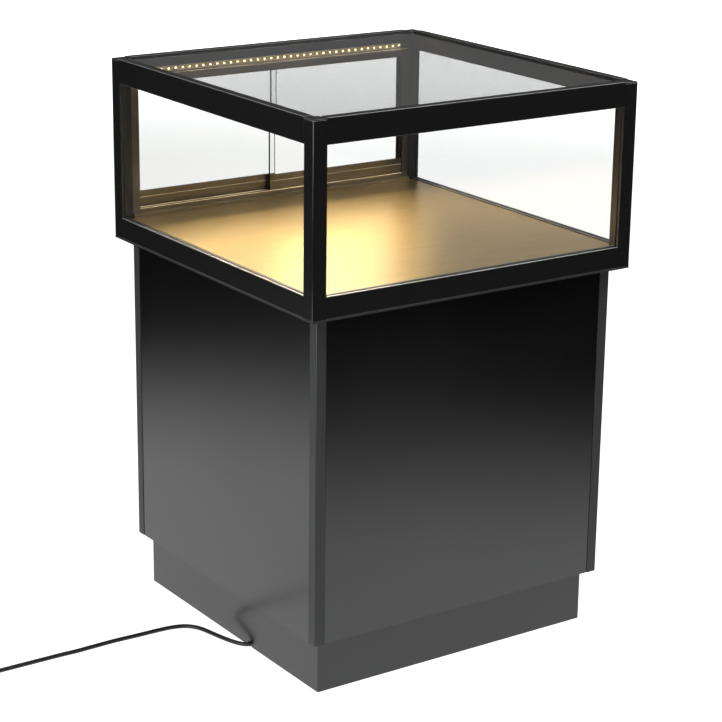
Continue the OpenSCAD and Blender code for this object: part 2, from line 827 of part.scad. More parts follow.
bottom_plate();
post(0);  // front_left_post
post(1);  // front_right_post
rear_right_post();
post(3);  // rear_left_post
post_caps();
top_rail(0);  // front_top_rail
top_rail(1);  // right_top_rail
rear_top_rail();
top_rail(3);  // left_top_rail
bottom_rail(0);  // front_bottom_rail
bottom_rail(1);  // right_bottom_rail
rear_bottom_rail();
bottom_rail(3);  // left_bottom_rail
top_glass();
pane(0);  // front_glass
pane(1);  // right_glass
pane(3);  // left_glass
pane_gaskets();
top_gasket();
deck_panel();
upper_track();
lower_track();
jamb(-1);  // left_jamb
jamb(1);  // right_jamb
led_carrier();
led_chips();
led_lead();
led_driver();
mains_lead();
base_top_panel();
base_floor_panel();
side_panel(0);  // base_front_panel
side_panel(1);  // base_right_panel
side_panel(3);  // base_left_panel
trim(0);  // front_left_trim
trim(1);  // front_right_trim
trim(2);  // rear_right_trim
trim(3);  // rear_left_trim
kick(0);  // front_kick
kick(1);  // right_kick
kick(2);  // rear_kick
left_kick();
case_bolts();
door_pane(-door_edge, meet, outer_lane);  // left_door_glass
door_shoe(-shoe_end, meet, outer_lane);  // left_door_shoe
roller(-shoe_end + roller_inset, outer_lane);  // left_door_outer_roller
roller(meet - roller_inset, outer_lane);  // left_door_inner_roller
door_pane(-meet, door_edge, inner_lane);  // right_door_glass
door_shoe(-meet, shoe_end, inner_lane);  // right_door_shoe
roller(shoe_end - roller_inset, inner_lane);  // right_door_outer_roller
roller(roller_inset - meet, inner_lane);  // right_door_inner_roller
storage_door();
hinge_frame_leaves();
hinge_door_leaves();
lock_barrel();
lock_cam();
power_cord();
cord_coil();
plug();
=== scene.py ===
import math
from itertools import product

import bmesh
import bpy
from mathutils import Matrix, Vector


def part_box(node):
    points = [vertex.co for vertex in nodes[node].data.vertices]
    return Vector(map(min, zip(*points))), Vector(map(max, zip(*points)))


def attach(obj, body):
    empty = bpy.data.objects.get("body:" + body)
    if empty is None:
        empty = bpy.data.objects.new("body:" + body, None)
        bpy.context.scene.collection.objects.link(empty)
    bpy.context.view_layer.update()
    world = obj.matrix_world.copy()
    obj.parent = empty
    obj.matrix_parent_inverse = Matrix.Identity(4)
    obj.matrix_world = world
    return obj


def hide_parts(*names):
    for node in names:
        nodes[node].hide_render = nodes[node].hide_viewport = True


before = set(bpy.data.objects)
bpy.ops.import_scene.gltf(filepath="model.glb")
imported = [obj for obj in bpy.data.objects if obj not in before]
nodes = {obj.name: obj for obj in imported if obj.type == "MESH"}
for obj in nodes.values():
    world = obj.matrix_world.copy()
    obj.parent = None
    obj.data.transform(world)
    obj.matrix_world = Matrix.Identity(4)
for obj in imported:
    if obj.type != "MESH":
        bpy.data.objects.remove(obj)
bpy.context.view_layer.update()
scene = bpy.context.scene
print("frame loaded,", len(nodes), "nodes")


# where the photograph was taken from: degrees, metres, and the lens in pixels of its 722 pixel frame
cameraView = {
    "azimuth": -34.393, "elevation": 17.502, "roll": 0.720,
    "distance": 3.6748, "aimSide": -0.00708, "aimHeight": 0.43305,
    "lensPixels": 2190.16, "framePixels": 722, "sensorWidth": 36.0, "clip": (0.05, 100),
}


def addCamera(view):
    a, e, r = (math.radians(view[k]) for k in ("azimuth", "elevation", "roll"))
    back = Vector((math.sin(a) * math.cos(e), -math.cos(a) * math.cos(e), math.sin(e)))
    right = Vector((math.cos(a), math.sin(a), 0))
    up = back.cross(right)
    place = Vector((0, 0, view["aimHeight"])) + right * view["aimSide"] + back * view["distance"]
    tiltedRight = right * math.cos(r) + up * math.sin(r)
    tiltedUp = up * math.cos(r) - right * math.sin(r)
    data = bpy.data.cameras.new("photoCamera")
    data.sensor_width = view["sensorWidth"]
    data.lens = view["lensPixels"] * view["sensorWidth"] / view["framePixels"]
    data.clip_start, data.clip_end = view["clip"]
    camera = bpy.data.objects.new("photoCamera", data)
    turn = Matrix((tiltedRight, tiltedUp, back)).transposed()
    camera.matrix_world = Matrix.Translation(place) @ turn.to_4x4()
    scene.collection.objects.link(camera)
    scene.camera = camera


addCamera(cameraView)
print("camera set")


def addNode(tree, kind, **settings):
    made = tree.nodes.new(kind)
    for name, value in settings.items():
        setattr(made, name, value)
    return made


def feed(tree, target, value):
    # a socket is linked, anything else becomes the input's own value
    if isinstance(value, bpy.types.NodeSocket):
        tree.links.new(value, target)
    else:
        target.default_value = value


def mathOf(tree, operation, *values, clamp=False):
    made = addNode(tree, "ShaderNodeMath", operation=operation, use_clamp=clamp)
    for socket, value in zip(made.inputs, values):
        feed(tree, socket, value)
    return made.outputs[0]


def rangeOf(tree, value, source, target=(0.0, 1.0), smooth=False):
    # carries the span of source over to the span of target
    made = addNode(tree, "ShaderNodeMapRange")
    made.interpolation_type = "SMOOTHSTEP" if smooth else "LINEAR"
    for name, number in zip(("From Min", "From Max", "To Min", "To Max"), (*source, *target)):
        feed(tree, made.inputs[name], number)
    feed(tree, made.inputs["Value"], value)
    return made.outputs["Result"]


def noiseOf(tree, vector, scale, detail, roughness=0.55):
    made = addNode(tree, "ShaderNodeTexNoise")
    feed(tree, made.inputs["Vector"], vector)
    feed(tree, made.inputs["Scale"], scale)
    made.inputs["Detail"].default_value = detail
    made.inputs["Roughness"].default_value = roughness
    return made.outputs["Fac"]


def mixColour(tree, factor, first, second):
    # colour sockets of the mix node sit at fixed places, since its A and B names repeat per type
    made = addNode(tree, "ShaderNodeMix", data_type="RGBA")
    feed(tree, made.inputs[0], factor)
    feed(tree, made.inputs[6], first)
    feed(tree, made.inputs[7], second)
    return made.outputs[2]


def startGroup(name, inputs, outputs):
    tree = bpy.data.node_groups.new(name, "ShaderNodeTree")
    kinds = {"vector": "NodeSocketVector", "value": "NodeSocketFloat"}
    for label, kind, value in inputs:
        socket = tree.interface.new_socket(label, in_out="INPUT", socket_type=kinds[kind])
        if value is not None:
            socket.default_value = value
    for label in outputs:
        tree.interface.new_socket(label, in_out="OUTPUT", socket_type=kinds["value"])
    return tree, tree.nodes.new("NodeGroupInput").outputs, tree.nodes.new("NodeGroupOutput").inputs


def buildGrainLines():
    # fine lines that run the way the metal or laminate was brushed
    tree, given, made = startGroup(
        "grainLines",
        [("Vector", "vector", None), ("Stretch", "vector", (1, 1, 1)), ("Scale", "value", 400.0)],
        ["Lines"])
    stretched = addNode(tree, "ShaderNodeVectorMath", operation="MULTIPLY")
    feed(tree, stretched.inputs[0], given["Vector"])
    feed(tree, stretched.inputs[1], given["Stretch"])
    fine = noiseOf(tree, stretched.outputs[0], given["Scale"], detail=5.0, roughness=0.65)
    feed(tree, made["Lines"], rangeOf(tree, fine, (0.3, 0.7)))
    return tree


def buildHandling():
    # wiping marks and faint smudges that lift the roughness here and there
    tree, given, made = startGroup(
        "handlingMarks",
        [("Vector", "vector", None), ("Smooth", "value", 0.2), ("Dull", "value", 0.35),
         ("Size", "value", 9.0)],
        ["Roughness", "Smudge"])
    speckScale = mathOf(tree, "MULTIPLY", given["Size"], 14.0)
    patches = noiseOf(tree, given["Vector"], given["Size"], detail=6.0, roughness=0.6)
    specks = noiseOf(tree, given["Vector"], speckScale, detail=3.0, roughness=0.5)
    smudge = rangeOf(tree, patches, (0.42, 0.68), smooth=True)
    speckled = mathOf(tree, "MULTIPLY", smudge, rangeOf(tree, specks, (0.3, 0.7), (0.6, 1.0)))
    feed(tree, made["Smudge"], speckled)
    feed(tree, made["Roughness"], rangeOf(tree, speckled, (0.0, 1.0), (given["Smooth"], given["Dull"])))
    return tree


def buildPebble():
    # the fine orange-peel skin of laminate, powder coat and moulded plastic
    tree, given, made = startGroup(
        "pebbleSkin", [("Vector", "vector", None), ("Scale", "value", 1500.0)], ["Height", "Mottle"])
    cells = addNode(tree, "ShaderNodeTexVoronoi", feature="SMOOTH_F1")
    feed(tree, cells.inputs["Vector"], given["Vector"])
    feed(tree, cells.inputs["Scale"], given["Scale"])
    cells.inputs["Smoothness"].default_value = 0.8
    softScale = mathOf(tree, "MULTIPLY", given["Scale"], 0.35)
    soft = noiseOf(tree, given["Vector"], softScale, detail=3.0, roughness=0.6)
    height = mathOf(tree, "ADD", mathOf(tree, "MULTIPLY", cells.outputs["Distance"], 0.6), soft)
    feed(tree, made["Height"], height)
    feed(tree, made["Mottle"], rangeOf(tree, soft, (0.3, 0.7)))
    return tree


def buildDust():
    # thin dust on what faces up, thicker in patches
    tree, given, made = startGroup(
        "settledDust",
        [("Vector", "vector", None), ("Normal", "vector", (0, 0, 1)), ("Amount", "value", 0.1)],
        ["Dust"])
    split = addNode(tree, "ShaderNodeSeparateXYZ")
    feed(tree, split.inputs[0], given["Normal"])
    facingUp = rangeOf(tree, split.outputs["Z"], (0.6, 1.0), smooth=True)
    patches = noiseOf(tree, given["Vector"], 22.0, detail=8.0, roughness=0.7)
    amount = mathOf(tree, "MULTIPLY", facingUp, rangeOf(tree, patches, (0.35, 0.75), (0.2, 1.0)))
    feed(tree, made["Dust"], mathOf(tree, "MULTIPLY", amount, given["Amount"], clamp=True))
    return tree


def buildPaintedEdgeHighlight():
    # painted highlight: the finish is paler on rounded edges that lie level and face up, where light from
    # above would catch them, in patches
    tree, given, made = startGroup(
        "paintedEdgeHighlight",
        [("Vector", "vector", None), ("Normal", "vector", (0, 0, 1)), ("Amount", "value", 1.0)],
        ["Edge"])
    size = addNode(tree, "ShaderNodeVectorMath", operation="ABSOLUTE")
    feed(tree, size.inputs[0], given["Normal"])
    split = addNode(tree, "ShaderNodeSeparateXYZ")
    feed(tree, split.inputs[0], size.outputs[0])
    sideways = mathOf(tree, "MAXIMUM", split.outputs["X"], split.outputs["Y"])
    most = mathOf(tree, "MAXIMUM", sideways, split.outputs["Z"])
    rounded = rangeOf(tree, most, (0.99, 0.85))
    level = rangeOf(tree, split.outputs["Z"], (0.1, 0.5))
    patches = noiseOf(tree, given["Vector"], 30.0, detail=4.0, roughness=0.6)
    worn = rangeOf(tree, patches, (0.3, 0.6), (0.6, 1.0))
    amount = mathOf(tree, "MULTIPLY", mathOf(tree, "MULTIPLY", rounded, level), worn)
    feed(tree, made["Edge"], mathOf(tree, "MULTIPLY", amount, given["Amount"], clamp=True))
    return tree


effects = {
    "grainLines": buildGrainLines(), "handlingMarks": buildHandling(), "pebbleSkin": buildPebble(),
    "settledDust": buildDust(), "paintedEdgeHighlight": buildPaintedEdgeHighlight(),
}
print("shared effects built")


def startMaterial(name, **look):
    # look sets sockets of the Principled shader by name, with spaces left out
    material = bpy.data.materials.new(name)
    material.use_nodes = True
    tree = material.node_tree
    shader = tree.nodes["Principled BSDF"]
    sockets = {s.name.replace(" ", ""): s for s in shader.inputs}
    for key, value in look.items():
        sockets[key].default_value = value
    place = addNode(tree, "ShaderNodeTexCoord").outputs["Object"]
    return material, tree, shader, place


def useEffect(tree, name, place, **values):
    made = addNode(tree, "ShaderNodeGroup")
    made.node_tree = effects[name]
    feed(tree, made.inputs["Vector"], place)
    for key, value in values.items():
        feed(tree, made.inputs[key], value)
    return made.outputs


def wearRoughness(tree, shader, place, look):
    # roughness between smooth and dull, in patches whose scale is the look's marks
    marks = useEffect(
        tree, "handlingMarks", place, Smooth=look["smooth"], Dull=look["dull"], Size=look["marks"])
    feed(tree, shader.inputs["Roughness"], marks["Roughness"])
    return marks


def facing(tree):
    return addNode(tree, "ShaderNodeNewGeometry").outputs["Normal"]


def bumpFrom(tree, shader, height, strength, distance=0.0002):
    bump = addNode(tree, "ShaderNodeBump")
    bump.inputs["Strength"].default_value = strength
    bump.inputs["Distance"].default_value = distance
    feed(tree, bump.inputs["Height"], height)
    feed(tree, shader.inputs["Normal"], bump.outputs["Normal"])


def tinted(colour, share):
    return [channel * share for channel in colour] + [1]


def grey(value):
    return (value, value, value, 1)


# in these looks roughness runs from smooth to dull, and marks, pebble and lines are pattern scales
frameLook = {
    "deep": (0.0065, 0.0065, 0.0068, 1), "worn": (0.0110, 0.0110, 0.0114, 1), "rubbed": (0.34, 0.35, 0.35, 1),
    "shine": 0.40, "smooth": 0.28, "dull": 0.32, "marks": 7.0, "pebble": 2600.0, "bump": 0.10,
    "dust": 0.03, "dustColour": grey(0.10),
}


def frameBlack(look):
    # satin black anodised extrusion, with a painted highlight on its rounded upper edges
    material, tree, shader, place = startMaterial("frameBlack", SpecularIORLevel=look["shine"])
    skin = useEffect(tree, "pebbleSkin", place, Scale=look["pebble"])
    normal = facing(tree)
    dust = useEffect(tree, "settledDust", place, Normal=normal, Amount=look["dust"])
    edge = useEffect(tree, "paintedEdgeHighlight", place, Normal=normal)
    metal = mixColour(tree, skin["Mottle"], look["deep"], look["worn"])
    # the paler tone on rounded upper edges is a painted highlight
    metal = mixColour(tree, edge["Edge"], metal, look["rubbed"])
    feed(tree, shader.inputs["Base Color"], mixColour(tree, dust["Dust"], metal, look["dustColour"]))
    wearRoughness(tree, shader, place, look)
    bumpFrom(tree, shader, skin["Height"], look["bump"])
    return material


laminateLook = {
    "deep": (0.0026, 0.0026, 0.0028), "pale": (0.0044, 0.0045, 0.0048), "lift": 1.0,
    "ior": 1.8, "tint": (0.965, 0.975, 1.0, 1), "smooth": 0.22, "dull": 0.26, "marks": 4.0,
    "pebble": 1900.0, "bump": 0.12,
}
# the kick plates take the same laminate painted lighter by the lift, a painted brightening for the light off
# the floor near them
kickPaintedLighterLook = {**laminateLook, "lift": 1.3, "ior": 1.7}


def laminateBlack(name, look):
    # semi-gloss laminate with a fine orange peel
    material, tree, shader, place = startMaterial(name, IOR=look["ior"], SpecularTint=look["tint"])
    skin = useEffect(tree, "pebbleSkin", place, Scale=look["pebble"])
    deep, pale = (tinted(look[tone], look["lift"]) for tone in ("deep", "pale"))
    feed(tree, shader.inputs["Base Color"], mixColour(tree, skin["Mottle"], deep, pale))
    wearRoughness(tree, shader, place, look)
    bumpFrom(tree, shader, skin["Height"], look["bump"])
    return material


trimLook = {
    "dark": (0.032, 0.033, 0.034, 1), "light": (0.044, 0.045, 0.046, 1), "rubbed": grey(0.09),
    "shine": 0.3, "smooth": 0.42, "dull": 0.52, "marks": 8.0, "stretch": (1, 1, 0.02), "lines": 900.0,
    "bump": 0.05,
}


def trimGrey(look):
    # satin dark grey extrusion, drawn lengthwise, with a painted highlight on its rounded upper edges
    material, tree, shader, place = startMaterial("trimGrey", SpecularIORLevel=look["shine"])
    grain = useEffect(tree, "grainLines", place, Stretch=look["stretch"], Scale=look["lines"])
    edge = useEffect(tree, "paintedEdgeHighlight", place, Normal=facing(tree))
    tone = mixColour(tree, grain["Lines"], look["dark"], look["light"])
    # the paler tone on rounded upper edges is a painted highlight
    feed(tree, shader.inputs["Base Color"], mixColour(tree, edge["Edge"], tone, look["rubbed"]))
    wearRoughness(tree, shader, place, look)
    bumpFrom(tree, shader, grain["Lines"], look["bump"], distance=0.0001)
    return material


glassLook = {"tint": (0.988, 0.997, 0.993, 1), "ior": 1.5, "smooth": 0.0, "dull": 0.005, "marks": 3.0}


def clearGlass(look):
    # float glass, a little green, with faint wiping marks
    material, tree, shader, place = startMaterial(
        "clearGlass", BaseColor=look["tint"], IOR=look["ior"], Roughness=look["smooth"],
        TransmissionWeight=1.0)
    wearRoughness(tree, shader, place, look)
    return material


deckLook = {
    "gold": (0.52, 0.36, 0.140, 1), "pale": (0.64, 0.46, 0.20, 1), "edge": (0.90, 0.81, 0.65, 1),
    "coat": 0.85, "coatRoughness": 0.25, "smooth": 0.295, "dull": 0.315, "marks": 2.0,
    "stretch": (0.03, 1, 1), "lines": 520.0, "pebble": 2200.0, "bump": 0.10,
}


def deckGold(look):
    # brushed metallic laminate under a clear lacquer
    material, tree, shader, place = startMaterial(
        "deckGold", Metallic=1.0, SpecularTint=look["edge"], CoatWeight=look["coat"],
        CoatRoughness=look["coatRoughness"])
    grain = useEffect(tree, "grainLines", place, Stretch=look["stretch"], Scale=look["lines"])
    skin = useEffect(tree, "pebbleSkin", place, Scale=look["pebble"])
    feed(tree, shader.inputs["Base Color"], mixColour(tree, grain["Lines"], look["gold"], look["pale"]))
    wearRoughness(tree, shader, place, look)
    height = mathOf(tree, "ADD", grain["Lines"], skin["Height"])
    bumpFrom(tree, shader, height, look["bump"], distance=0.0001)
    return material


drawnMetal = {"smooth": 0.30, "dull": 0.44, "marks": 10.0, "lines": 1100.0, "bump": 0.12, "edgeLift": 3.5}
metalLook = {
    "trackMetal": {
        **drawnMetal, "stretch": (0.02, 1, 1), "dark": 0.15, "light": 0.23, "warm": (1, 0.88, 0.67)},
    "jambMetal": {
        **drawnMetal, "stretch": (1, 1, 0.02), "dark": 0.12, "light": 0.17, "warm": (1, 0.93, 0.80)},
}


def bareMetal(name, look):
    # mill-finish aluminium with draw lines along the section, deeper in colour and paler on rounded upper
    # edges, where a highlight is painted
    material, tree, shader, place = startMaterial(name, Metallic=1.0)
    grain = useEffect(tree, "grainLines", place, Stretch=look["stretch"], Scale=look["lines"])
    edge = useEffect(tree, "paintedEdgeHighlight", place, Normal=facing(tree))
    dark, light = (tinted(look["warm"], look[tone]) for tone in ("dark", "light"))
    bright = tinted([channel ** 2 for channel in look["warm"]], min(1.0, look["edgeLift"] * look["light"]))
    tone = mixColour(tree, grain["Lines"], dark, light)
    # the brighter, warmer tone on rounded upper edges is a painted highlight
    feed(tree, shader.inputs["Base Color"], mixColour(tree, edge["Edge"], tone, bright))
    wearRoughness(tree, shader, place, look)
    bumpFrom(tree, shader, grain["Lines"], look["bump"], distance=0.0001)
    return material


steelLook = {
    "bright": (0.62, 0.61, 0.58, 1), "smudged": (0.48, 0.475, 0.46, 1), "smooth": 0.16, "dull": 0.32,
    "marks": 40.0,
}


def platedSteel(look):
    material, tree, shader, place = startMaterial("platedSteel", Metallic=1.0)
    marks = wearRoughness(tree, shader, place, look)
    tone = mixColour(tree, marks["Smudge"], look["bright"], look["smudged"])
    feed(tree, shader.inputs["Base Color"], tone)
    return material


# tone and roughness from the low to the high spots of the skin
plasticSkin = {"shine": 0.5, "pebble": 2400.0, "bump": 0.18}
rubberSkin = {"shine": 0.4, "pebble": 3200.0, "bump": 0.10}
mouldedLook = {
    "plateSatin": {**plasticSkin, "tone": (0.022, 0.032), "rough": (0.40, 0.50)},
    "cableSheath": {**plasticSkin, "tone": (0.010, 0.018), "rough": (0.40, 0.55)},
    "mouldedPlastic": {**plasticSkin, "tone": (0.014, 0.024), "rough": (0.35, 0.50)},
    "rollerNylon": {**plasticSkin, "tone": (0.030, 0.045), "rough": (0.45, 0.60)},
    "sealBlack": {**rubberSkin, "tone": (0.008, 0.016), "rough": (0.50, 0.60)},
    "topSealBlack": {**rubberSkin, "tone": (0.008, 0.016), "rough": (0.65, 0.80)},
}


def mouldedBlack(name, look):
    material, tree, shader, place = startMaterial(name, SpecularIORLevel=look["shine"])
    skin = useEffect(tree, "pebbleSkin", place, Scale=look["pebble"])
    low, high = (grey(tone) for tone in look["tone"])
    feed(tree, shader.inputs["Base Color"], mixColour(tree, skin["Mottle"], low, high))
    feed(tree, shader.inputs["Roughness"], rangeOf(tree, skin["Mottle"], (0.0, 1.0), look["rough"]))
    bumpFrom(tree, shader, skin["Height"], look["bump"])
    return material


ledLook = {
    "board": (0.20, 0.15, 0.04, 1), "boardPale": (0.28, 0.21, 0.07, 1), "boardRough": 0.35, "pebble": 2400.0,
    "spill": (1.0, 0.66, 0.14, 1), "spillStrength": 0.11,
    "phosphor": (0.9, 0.75, 0.3, 1), "phosphorRough": 0.4, "unevenScale": 900.0,
    "glow": (1.0, 0.80, 0.42, 1), "hot": (1.0, 0.86, 0.52, 1), "strength": 8.0,
}


def stripBoard(look):
    # yellowish coated board, in which the light of the chips spreads a little
    material, tree, shader, place = startMaterial(
        "stripBoard", EmissionStrength=look["spillStrength"], Roughness=look["boardRough"])
    skin = useEffect(tree, "pebbleSkin", place, Scale=look["pebble"])
    feed(tree, shader.inputs["Base Color"], mixColour(tree, skin["Mottle"], look["board"], look["boardPale"]))
    feed(tree, shader.inputs["Emission Color"], mixColour(tree, skin["Mottle"], look["spill"], look["glow"]))
    return material


def chipGlow(look):
    # warm phosphor, a little uneven from chip to chip
    material, tree, shader, place = startMaterial(
        "chipGlow", BaseColor=look["phosphor"], Roughness=look["phosphorRough"],
        EmissionStrength=look["strength"])
    uneven = noiseOf(tree, place, look["unevenScale"], detail=2.0)
    feed(tree, shader.inputs["Emission Color"], mixColour(tree, uneven, look["glow"], look["hot"]))
    return material


materials = {
    "frame": frameBlack(frameLook),
    "laminate": laminateBlack("laminateBlack", laminateLook),
    "kick": laminateBlack("kickLaminatePaintedLighter", kickPaintedLighterLook),
    "trim": trimGrey(trimLook),
    "glass": clearGlass(glassLook),
    "deck": deckGold(deckLook),
    "steel": platedSteel(steelLook),
    "chip": chipGlow(ledLook),
    "board": stripBoard(ledLook),
}
for name, look in metalLook.items():
    materials[name] = bareMetal(name, look)
for name, look in mouldedLook.items():
    materials[name] = mouldedBlack(name, look)
print("materials made:", len(materials))


nodeFinish = {
    "plateSatin": ["bottom_plate"],
    "frame": ["front_left_post", "front_right_post", "rear_right_post", "rear_left_post",
              "post_caps", "front_top_rail", "right_top_rail", "rear_top_rail", "left_top_rail",
              "front_bottom_rail", "right_bottom_rail", "rear_bottom_rail", "left_bottom_rail"],
    "laminate": ["base_top_panel", "base_floor_panel", "base_front_panel", "base_right_panel",
                 "base_left_panel", "storage_door"],
    "kick": ["front_kick", "right_kick", "rear_kick", "left_kick"],
    "trim": ["front_left_trim", "front_right_trim", "rear_right_trim", "rear_left_trim"],
    "glass": ["top_glass", "front_glass", "right_glass", "left_glass", "left_door_glass", "right_door_glass"],
    "sealBlack": ["pane_gaskets"],
    "topSealBlack": ["top_gasket"],
    "deck": ["deck_panel"],
    "trackMetal": ["upper_track", "lower_track", "led_carrier", "left_door_shoe", "right_door_shoe"],
    "jambMetal": ["left_jamb", "right_jamb"],
    "steel": ["case_bolts", "hinge_frame_leaves", "hinge_door_leaves", "lock_barrel", "lock_cam"],
    "cableSheath": ["led_lead", "mains_lead", "power_cord", "cord_coil"],
    "mouldedPlastic": ["led_driver", "plug"],
    "rollerNylon": ["left_door_outer_roller", "left_door_inner_roller", "right_door_outer_roller",
                    "right_door_inner_roller"],
    "board": ["led_chips"],
}
edgeRadius = {  # metres, by finish
    "frame": 0.0005, "laminate": 0.0005, "kick": 0.0005, "deck": 0.0005, "trim": 0.0006, "glass": 0.0006,
    "plateSatin": 0.0004, "trackMetal": 0.0004, "jambMetal": 0.0004, "steel": 0.0002,
    "mouldedPlastic": 0.0012,
}
outerFaces = {  # box planes whose edges are rounded wider
    "front_top_rail": ("y-", "z+"), "left_top_rail": ("x-", "z+"), "right_top_rail": ("x+", "z+"),
    "rear_top_rail": ("y+", "z+"), "front_bottom_rail": ("y-",), "left_bottom_rail": ("x-",),
    "right_bottom_rail": ("x+",), "rear_bottom_rail": ("y+",), "lower_track": ("z+",),
    "left_door_shoe": ("y-",), "right_door_shoe": ("y-",),
}
# metres and degrees: points nearer than weld become one, and faces within flat are joined
edgeLook = {"weld": 0.000002, "flat": 0.2, "sharp": 40, "outerRadius": 0.0011, "onPlane": 0.00001}


def addBevel(piece, name, radius, segments):
    bevel = piece.modifiers.new(name, "BEVEL")
    bevel.width = radius
    bevel.segments = segments
    bevel.use_clamp_overlap = True
    bevel.harden_normals = True
    return bevel


def markOuter(piece, faces):
    # a vertex group for the bevel; no vertex is moved
    low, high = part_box(piece.name)
    planes = []
    for axisName, side in faces:
        axis = "xyz".index(axisName)
        planes.append((axis, (high if side == "+" else low)[axis]))
    chosen = [v.index for v in piece.data.vertices
              if any(abs(v.co[axis] - level) < edgeLook["onPlane"] for axis, level in planes)]
    piece.vertex_groups.new(name="outerEdges").add(chosen, 1.0, "REPLACE")


def softenEdges(piece, radius):
    # the CAD mesh is split at its edges, so it is welded and its flat faces are joined first
    weld = piece.modifiers.new("weld", "WELD")
    weld.merge_threshold = edgeLook["weld"]
    flat = piece.modifiers.new("flat", "DECIMATE")
    flat.decimate_type = "DISSOLVE"
    flat.angle_limit = math.radians(edgeLook["flat"])
    if piece.name in outerFaces:
        markOuter(piece, outerFaces[piece.name])
        outer = addBevel(piece, "outer", edgeLook["outerRadius"], 3)
        outer.limit_method = "VGROUP"
        outer.vertex_group = "outerEdges"
    bevel = addBevel(piece, "edge", radius, 2)
    bevel.limit_method = "ANGLE"
    bevel.angle_limit = math.radians(edgeLook["sharp"])


def dressNodes():
    for finish, names in nodeFinish.items():
        for name in names:
            piece = nodes[name]
            piece.data.materials.clear()
            piece.data.materials.append(materials[finish])
            if finish in edgeRadius:
                softenEdges(piece, edgeRadius[finish])
            if finish == "glass":
                piece.visible_shadow = False


dressNodes()
print("CAD nodes dressed")


def newPiece(name, mesh, finishes, body):
    piece = bpy.data.objects.new(name, mesh)
    scene.collection.objects.link(piece)
    for finish in finishes:
        piece.data.materials.append(materials[finish])
    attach(piece, body)
    return piece


def addBlock(shape, low, high, finish):
    # a box from corner to corner
    corners = [shape.verts.new(place) for place in product(*zip(low, high))]
    for loop in ((0, 1, 3, 2), (4, 6, 7, 5), (0, 4, 5, 1), (2, 3, 7, 6), (0, 2, 6, 4), (1, 5, 7, 3)):
        shape.faces.new([corners[i] for i in loop]).material_index = finish


def addBand(shape, near, far, finish=0):
    # a closed band of faces from one ring of vertices to the next
    for i in range(len(near)):
        j = (i + 1) % len(near)
        shape.faces.new((near[i], near[j], far[j], far[i])).material_index = finish


def addLoft(shape, rings, finish=0):
    # closed skin through rings of equal count, capped at both ends
    made = [[shape.verts.new(p) for p in ring] for ring in rings]
    for near, far in zip(made, made[1:]):
        addBand(shape, near, far, finish)
    shape.faces.new(list(reversed(made[0]))).material_index = finish
    shape.faces.new(made[-1]).material_index = finish


def finishMesh(name, shape, smooth=True):
    bmesh.ops.recalc_face_normals(shape, faces=shape.faces)
    mesh = bpy.data.meshes.new(name)
    shape.to_mesh(mesh)
    shape.free()
    for face in mesh.polygons:
        face.use_smooth = smooth
    return mesh


def turnsOf(count):
    return [2 * math.pi * i / count for i in range(count)]


def roundedRing(halfWidth, halfHeight, bend, count):
    # an ellipse at bend 1, squarer as the bend falls
    ring = []
    for turn in turnsOf(count):
        c, s = math.cos(turn), math.sin(turn)
        ring.append((halfWidth * math.copysign(abs(c) ** bend, c),
                     halfHeight * math.copysign(abs(s) ** bend, s)))
    return ring


cordLook = {
    "diameter": 0.007, "facets": 5, "ringGap": 0.006, "coilMiddle": (-0.710, 0.120), "coilInner": 0.028,
    "coilPitch": 0.0076, "coilClimb": 0.0075, "coilTurns": 5.5, "coilSteps": 40, "stub": 0.007, "lead": 0.020,
}
# the same points as the CAD route, in metres on the floor
cordRoute = [
    (-0.265, -0.060), (-0.271, -0.0565), (-0.278, -0.047), (-0.285, -0.030), (-0.291, -0.008),
    (-0.296, 0.014), (-0.301, 0.035), (-0.308, 0.049), (-0.319, 0.060), (-0.336, 0.0665),
    (-0.360, 0.0695), (-0.403, 0.0705), (-0.446, 0.072), (-0.489, 0.071), (-0.515, 0.070),
    (-0.545, 0.071), (-0.600, 0.071), (-0.655, 0.071),
]


def smoothThrough(points, gap):
    # a curve through all points, with steps of about the gap
    made = []
    for i in range(len(points) - 1):
        b, c = points[i], points[i + 1]
        a = 2 * b - c if i == 0 else points[i - 1]
        d = 2 * c - b if i == len(points) - 2 else points[i + 2]
        steps = max(1, round((c - b).length / gap))
        for k in range(steps):
            t = k / steps
            made.append(0.5 * (2 * b + (c - a) * t + (2 * a - 5 * b + 4 * c - d) * t * t
                               + (3 * b - a - 3 * c + d) * t ** 3))
    made.append(points[-1])
    return made


def coilPoint(look, turn):
    # winds in on the floor, climbs in the half turn at the middle, and winds out again on top of itself
    radius = look["coilInner"] + look["coilPitch"] * abs(turn)
    angle = math.radians(-90 - 360 * (turn + look["coilTurns"] / 2))
    rise = min(1.0, max(0.0, 2 * turn + 0.5))
    climb = look["coilClimb"] * rise * rise * (3 - 2 * rise)
    x, y = look["coilMiddle"]
    return Vector((x + radius * math.cos(angle), y + radius * math.sin(angle), look["diameter"] / 2 + climb))


def cordPath(look):
    floor = look["diameter"] / 2
    outer = look["coilInner"] + look["coilPitch"] * look["coilTurns"] / 2
    x, y = look["coilMiddle"]
    start = Vector((x + look["stub"], y - outer, floor))
    route = [Vector((*place, floor)) for place in cordRoute]
    line = smoothThrough(route + [start + Vector((look["lead"], 0, 0)), start], look["ringGap"])
    steps = int(look["coilTurns"] * look["coilSteps"])
    line += [coilPoint(look, i / look["coilSteps"] - look["coilTurns"] / 2) for i in range(steps + 1)]
    line.append(Vector((x + look["stub"], y + outer, floor + look["coilClimb"])))
    return line


